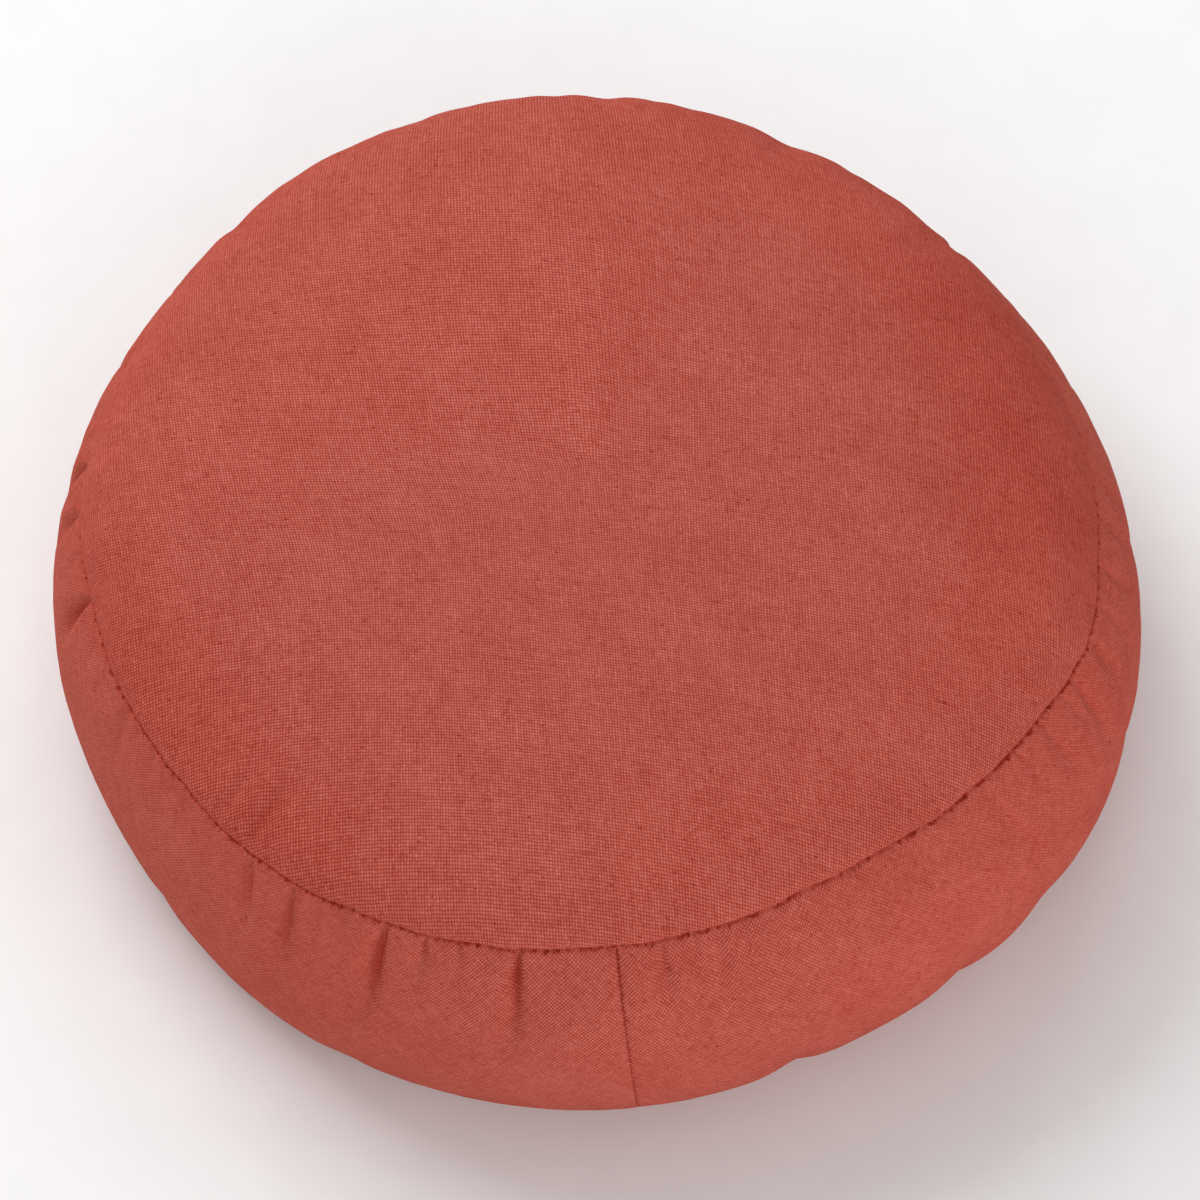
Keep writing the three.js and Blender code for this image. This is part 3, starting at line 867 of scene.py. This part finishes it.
def sewn_seams(shade, place):
    """A groove, the dimples that the stitches pull and ragged nicks along the edge, all with painted
    shade, and a line of painted shade down the closing seam. The top line is plain at the front and the
    back, and fades where the crown's edge swells over it."""
    stitch, away = place.stitch, place.away
    plain = shade.math("MAXIMUM", shade.ease(place.from_back, 68, 88, 0.08, 1),
                       shade.ease(place.from_back, 50, 34))
    bold = shade.total(1, shade.product(shade.hump(stitch, 47, 13), 0.7))
    wander = shade.noise(shade.product(stitch, 0.67), 3, 2)
    stray = shade.map(shade.noise(shade.product(stitch, 0.8), 21, 1), 0.3, 0.7, -0.5, 0.5)
    groove = shade.product(
        bold, shade.hump(away, stray, shade.map(wander, 0.3, 0.7, 0.2, 0.6)),
        shade.map(shade.noise(shade.product(stitch, 0.9), 11), 0.35, 0.6, 0.45, 1), plain)
    nick = shade.product(
        shade.map(shade.noise(shade.product(stitch, 1.7), shade.product(away, 0.8)), 0.58, 0.72),
        shade.hump(away, stray, 0.75), plain)

    # A dimple at each stitch, some deep and most shallow
    number = shade.math("FLOOR", stitch)
    phase = shade.math("SUBTRACT", stitch, number)
    spot = shade.chance(shade.total(number, 0.5))
    strength = shade.product(
        shade.math("POWER", shade.chance(number), 2.5),
        shade.map(shade.noise(shade.product(stitch, 0.08), 8), 0.35, 0.65, 0.5, 1.3))
    dimple = shade.product(
        shade.hump(phase, shade.map(spot, 0, 1, 0.2, 0.8), 0.15),
        shade.hump(away, shade.map(spot, 0, 1, 0.6, 0.1), 0.5), strength, bold)

    line = shade.product(shade.hump(place.sideways, 0, 0.45), shade.map(place.down, 0, 45, 1, 0.3))
    closing_stitch = shade.math("FRACT", shade.product(place.down, 1 / CLOSING_PITCH))
    closing_dimple = shade.product(
        shade.hump(closing_stitch, 0.5, 0.2), shade.hump(place.sideways, 0.3, 0.5))
    return Sewing(
        # painted shade in the groove, the dimples, the nicks and down the closing seam
        dark=shade.total(
            shade.product(groove, 0.45), shade.product(dimple, 0.8), shade.product(nick, 0.3),
            shade.product(line, 0.30), shade.product(closing_dimple, 0.35)),
        flat=shade.math("SUBTRACT", 1, shade.product(shade.hump(away, 0, 0.8), 0.8)),
        dimple=dimple, closing_dimple=closing_dimple)


def side_tones(shade, place):
    """Shares of painted shade in folds and on the sides, the share that is on their band, and a change
    of tone that paints shade on the crown's edge at the right and front left and paints light on the
    left band."""
    stitch, below, from_back, on_left = place.stitch, place.below, place.from_back, place.on_left
    # painted shade: share of deeper, darker colour deep in folds
    in_fold = shade.product(
        shade.ease(place.sunk, 1.2, 4.6),
        shade.math("MAXIMUM", on_left, shade.map(from_back, 85, 125, 0.35, 1)))
    # painted shade: share of deeper colour on the sides, on the crown's edge and on the band
    beside = shade.product(
        shade.ease(stitch, 292, 262, 0.35, 1), shade.ease(stitch, 35, 58, 0.35, 0.7),
        shade.ease(below, shade.map(on_left, 0, 1, -95, -45), shade.map(on_left, 0, 1, -15, 5)))
    on_band = shade.product(
        shade.ease(from_back, 140, 116), shade.map(from_back, 76, 108, 0.3, 1),
        shade.map(below, -2, 4))
    # painted shade on the crown's edge at the right and the front left, painted light on the left band
    right_edge_shade = shade.product(
        shade.ease(stitch, 58, 72), shade.ease(stitch, 116, 98),
        shade.ease(below, -95, -25), shade.map(below, 3, -3))
    left_edge_shade = shade.product(
        shade.ease(stitch, 224, 240), shade.ease(stitch, 284, 268),
        shade.ease(below, -60, -10), shade.map(below, 3, -3))
    left_band_light = shade.product(
        shade.ease(stitch, 205, 235), shade.ease(stitch, 278, 258), shade.map(below, -3, 12))
    shift = shade.total(shade.product(right_edge_shade, -0.1), shade.product(left_edge_shade, -0.06),
                        shade.product(left_band_light, 0.06))
    return Sides(in_fold, beside, on_band, shift)


def cloth_material():
    """Plain weave with uneven yarns, slubs, soft blotches and dimpled seams. Shade is painted between
    yarns, along the seams, in folds and on the sides, and light is painted on the left band.
    """
    shade = Shade("terracotta_cloth")
    place = mapped_place(shade)
    weave = plain_weave(shade, place)
    sewing = sewn_seams(shade, place)
    sides = side_tones(shade, place)

    # Colour runs from the gaps between yarns, where shade is painted, to their tops
    contrast = shade.product(shade.map(sides.on_band, 0, 1, 1, 0.65), sewing.flat)
    level = shade.total(
        shade.product(shade.map(weave.height, 0, 1, -0.43, 0.27), contrast),
        shade.map(weave.tone, 0.2, 0.8, 0.43, 0.53),
        shade.map(weave.puff, 0, 1, -0.06, 0.06),
        shade.map(weave.blotch, 0.3, 0.7, -0.035, 0.035),
        shade.map(weave.patch, 0.3, 0.7, -0.035, 0.035),
        shade.product(weave.slub, -0.13),
        shade.product(weave.speck, -0.35),
        # painted shade deep in folds
        shade.product(sides.in_fold, -0.09),
        # painted shade on the crown's edges, painted light on the left band
        sides.shift,
        # painted shade along the seams
        shade.product(sewing.dark, -0.75))
    colour = shade.ramp(level, (0, CLOTH_DEEP), (0.5, CLOTH_MIDDLE), (1, CLOTH_LIGHT))
    # painted shade: deeper colour on the sides
    colour = shade.deepened(colour, shade.product(sides.beside, 0.8), CLOTH_SIDE_SHADE)
    # painted shade: deeper, redder colour deep in folds
    colour = shade.deepened(colour, sides.in_fold, CLOTH_FOLD_SHADE)
    relief = shade.total(
        shade.product(weave.height, contrast, YARN_RELIEF), shade.product(sewing.dimple, DIMPLE_RELIEF),
        shade.product(sewing.closing_dimple, CLOSING_RELIEF))
    bump = shade.node("ShaderNodeBump", {"Height": relief, "Distance": MM, "Strength": 1})
    return shade.finished({
        "Base Color": colour,
        "Roughness": shade.map(weave.height, 0, 1, 0.98, 0.84),
        "Specular IOR Level": 0.02,
        "Sheen Weight": 0.05,
        "Sheen Roughness": 0.45,
        "Sheen Tint": SHEEN,
        "Normal": bump.outputs[0]})


def thread_material():
    """Twisted sewing thread, darker than the cloth."""
    shade = Shade("sewing_thread")
    place = shade.node("ShaderNodeTexCoord").outputs["Object"]
    twist = shade.node("ShaderNodeTexNoise", {"Vector": place, "Scale": 2500, "Detail": 1}).outputs[0]
    bump = shade.node("ShaderNodeBump", {"Height": twist, "Distance": 0.0001})
    return shade.finished({
        "Base Color": shade.ramp(twist, (0.3, THREAD_DEEP), (0.7, THREAD)),
        "Roughness": shade.map(twist, 0.2, 0.8, 0.7, 0.9),
        "Specular IOR Level": 0.08,
        "Normal": bump.outputs[0]})


def floor_material():
    shade = Shade("pale_floor")
    place = shade.node("ShaderNodeTexCoord").outputs["Object"]
    grain = shade.node("ShaderNodeTexNoise", {"Vector": place, "Scale": 40, "Detail": 3})
    return shade.finished({
        "Base Color": shade.ramp(
            grain.outputs[0], (0.3, (0.86, 0.86, 0.86, 1)), (0.7, (0.88, 0.88, 0.88, 1))),
        "Roughness": 0.9})


LAMP_DISTANCE = 2.4


def softbox(name, azimuth, elevation, size, power):
    """A square lamp that faces the cushion. Azimuth 270 is the front, as in the tables."""
    turned, raised = math.radians(azimuth), math.radians(elevation)
    way = Vector((math.cos(turned) * math.cos(raised), math.sin(turned) * math.cos(raised),
                  math.sin(raised)))
    data = bpy.data.lights.new(name, "AREA")
    data.shape, data.size, data.energy = "SQUARE", size, power
    lamp = bpy.data.objects.new(name, data)
    lamp.location = way * LAMP_DISTANCE
    lamp.rotation_euler = way.to_track_quat("Z", "Y").to_euler()
    bpy.context.scene.collection.objects.link(lamp)


# The cushion
GRID_AT = grid_distances()
GRID_MOVES = settled_moves(GRID_AT)
points, faces, maps = cushion_surface()
low, high = points.min(0), points.max(0)
shift = (np.array(CAD_BOX).mean(0) / MM - (low + high) / 2) * [1, 1, 0]
cushion = mesh_object("cushion", points + shift, faces, maps)
cushion.data.materials.append(cloth_material())
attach(cushion, "root")
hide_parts("top_panel", "side_band", "bottom_panel")

# Sewing: stitches along the three seams, some that cross the top one, and its loose ends
CROSSINGS = 54
LOOSE_ENDS = 126
LOOSE_PITCH = 1.5
LOOSE_KINDS = [(-0.2, 0.25, 0.6), (-0.35, 0.4, 1.0), (-0.5, 0.6, 1.5)]   # least and most slant, length
STITCH_PITCH = TURN / STITCHES
STITCH_HALF = 0.34 * STITCH_PITCH
CLOSING_STITCH = 1.9
SEAM_SIDE = 0.05                  # how far from its seam a line of stitches lies
HIDDEN = 0.3                      # how far stitches sink where the seam's channel is shallow

chance = np.random.default_rng(7)
along = (np.arange(STITCHES) + 0.5 + chance.uniform(-0.12, 0.12, STITCHES)) * STITCH_PITCH
hidden = HIDDEN * (1 - shares_at(CHANNEL_SHARES, CLOSING_ANGLE + along))
crossing = np.sort(chance.permutation(np.flatnonzero(hidden < 0.05))[:CROSSINGS])
spots = np.arange(0, TURN, LOOSE_PITCH)
loose = chance.permutation(spots + chance.uniform(0, LOOSE_PITCH, len(spots)))
loose = loose[shares_at(CHANNEL_SHARES, CLOSING_ANGLE + loose) > 0.8][:LOOSE_ENDS]
down_seam = np.arange(2.5, BAND_END - 4, CLOSING_PITCH)
threads = [
    ("top_seam_stitches", chance.uniform(0.1, 0.2, STITCHES),
     stitch_paths(along, STITCH_HALF, SEAM_SIDE, chance.uniform(-0.22, 0.12, STITCHES) - hidden)),
    ("top_seam_crossings", chance.uniform(0.06, 0.15, len(crossing)),
     crossing_paths(along[crossing], chance.uniform(0.05, 0.4, len(crossing)))),
    ("top_seam_loose_ends", chance.uniform(0.04, 0.09, len(loose)), np.concatenate([
        loose_paths(loose[k::3], chance.uniform(least, most, len(loose[k::3])), length)
        for k, (least, most, length) in enumerate(LOOSE_KINDS)])),
    ("closing_seam_stitches", chance.uniform(0.1, 0.18, len(down_seam)),
     closing_paths(down_seam, CLOSING_STITCH, chance.uniform(-0.05, 0.2, len(down_seam)))),
    ("under_seam_stitches", chance.uniform(0.12, 0.2, STITCHES),
     stitch_paths(along, STITCH_HALF, BAND_END - SEAM_SIDE, chance.uniform(0.0, 0.25, STITCHES))),
]
thread = thread_material()
for name, radii, paths in threads:
    made = tubes(name, paths + shift, radii)
    made.data.materials.append(thread)
    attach(made, "root")

# Floor, camera and light
FLOOR = 3000                      # half its width
FLOOR_DROP = 0.0003               # keeps it just under the cushion
corners = [(-FLOOR, -FLOOR, 0), (FLOOR, -FLOOR, 0), (FLOOR, FLOOR, 0), (-FLOOR, FLOOR, 0)]
floor = mesh_object("floor", corners, [(0, 1, 2, 3)])
floor.location.z = -FLOOR_DROP
floor.data.materials.append(floor_material())

VIEW_ELEVATION = math.radians(54)
VIEW_DISTANCE = 5.0
VIEW_AIM = Vector((0.0011, 0.0286, 0.0208))
camera_data = bpy.data.cameras.new("camera")
camera_data.sensor_width = 36
camera_data.lens = 426
camera = bpy.data.objects.new("camera", camera_data)
back = Vector((0, -math.cos(VIEW_ELEVATION), math.sin(VIEW_ELEVATION)))
camera.location = VIEW_AIM + back * VIEW_DISTANCE
camera.rotation_euler = (math.radians(90) - VIEW_ELEVATION, 0, 0)
bpy.context.scene.collection.objects.link(camera)
bpy.context.scene.camera = camera

softbox("back_left", 135, 45, 1.6, 35)
softbox("back", 90, 45, 1.6, 12.5)
softbox("front", 270, 30, 1.6, 15.5)
softbox("front_right", 315, 14, 1.2, 19)
world = bpy.data.worlds.new("studio")
bpy.context.scene.world = world
world.use_nodes = True
background = world.node_tree.nodes["Background"]
background.inputs["Color"].default_value = (1, 1, 1, 1)
background.inputs["Strength"].default_value = 0.4
bpy.context.scene.view_settings.view_transform = "Standard"
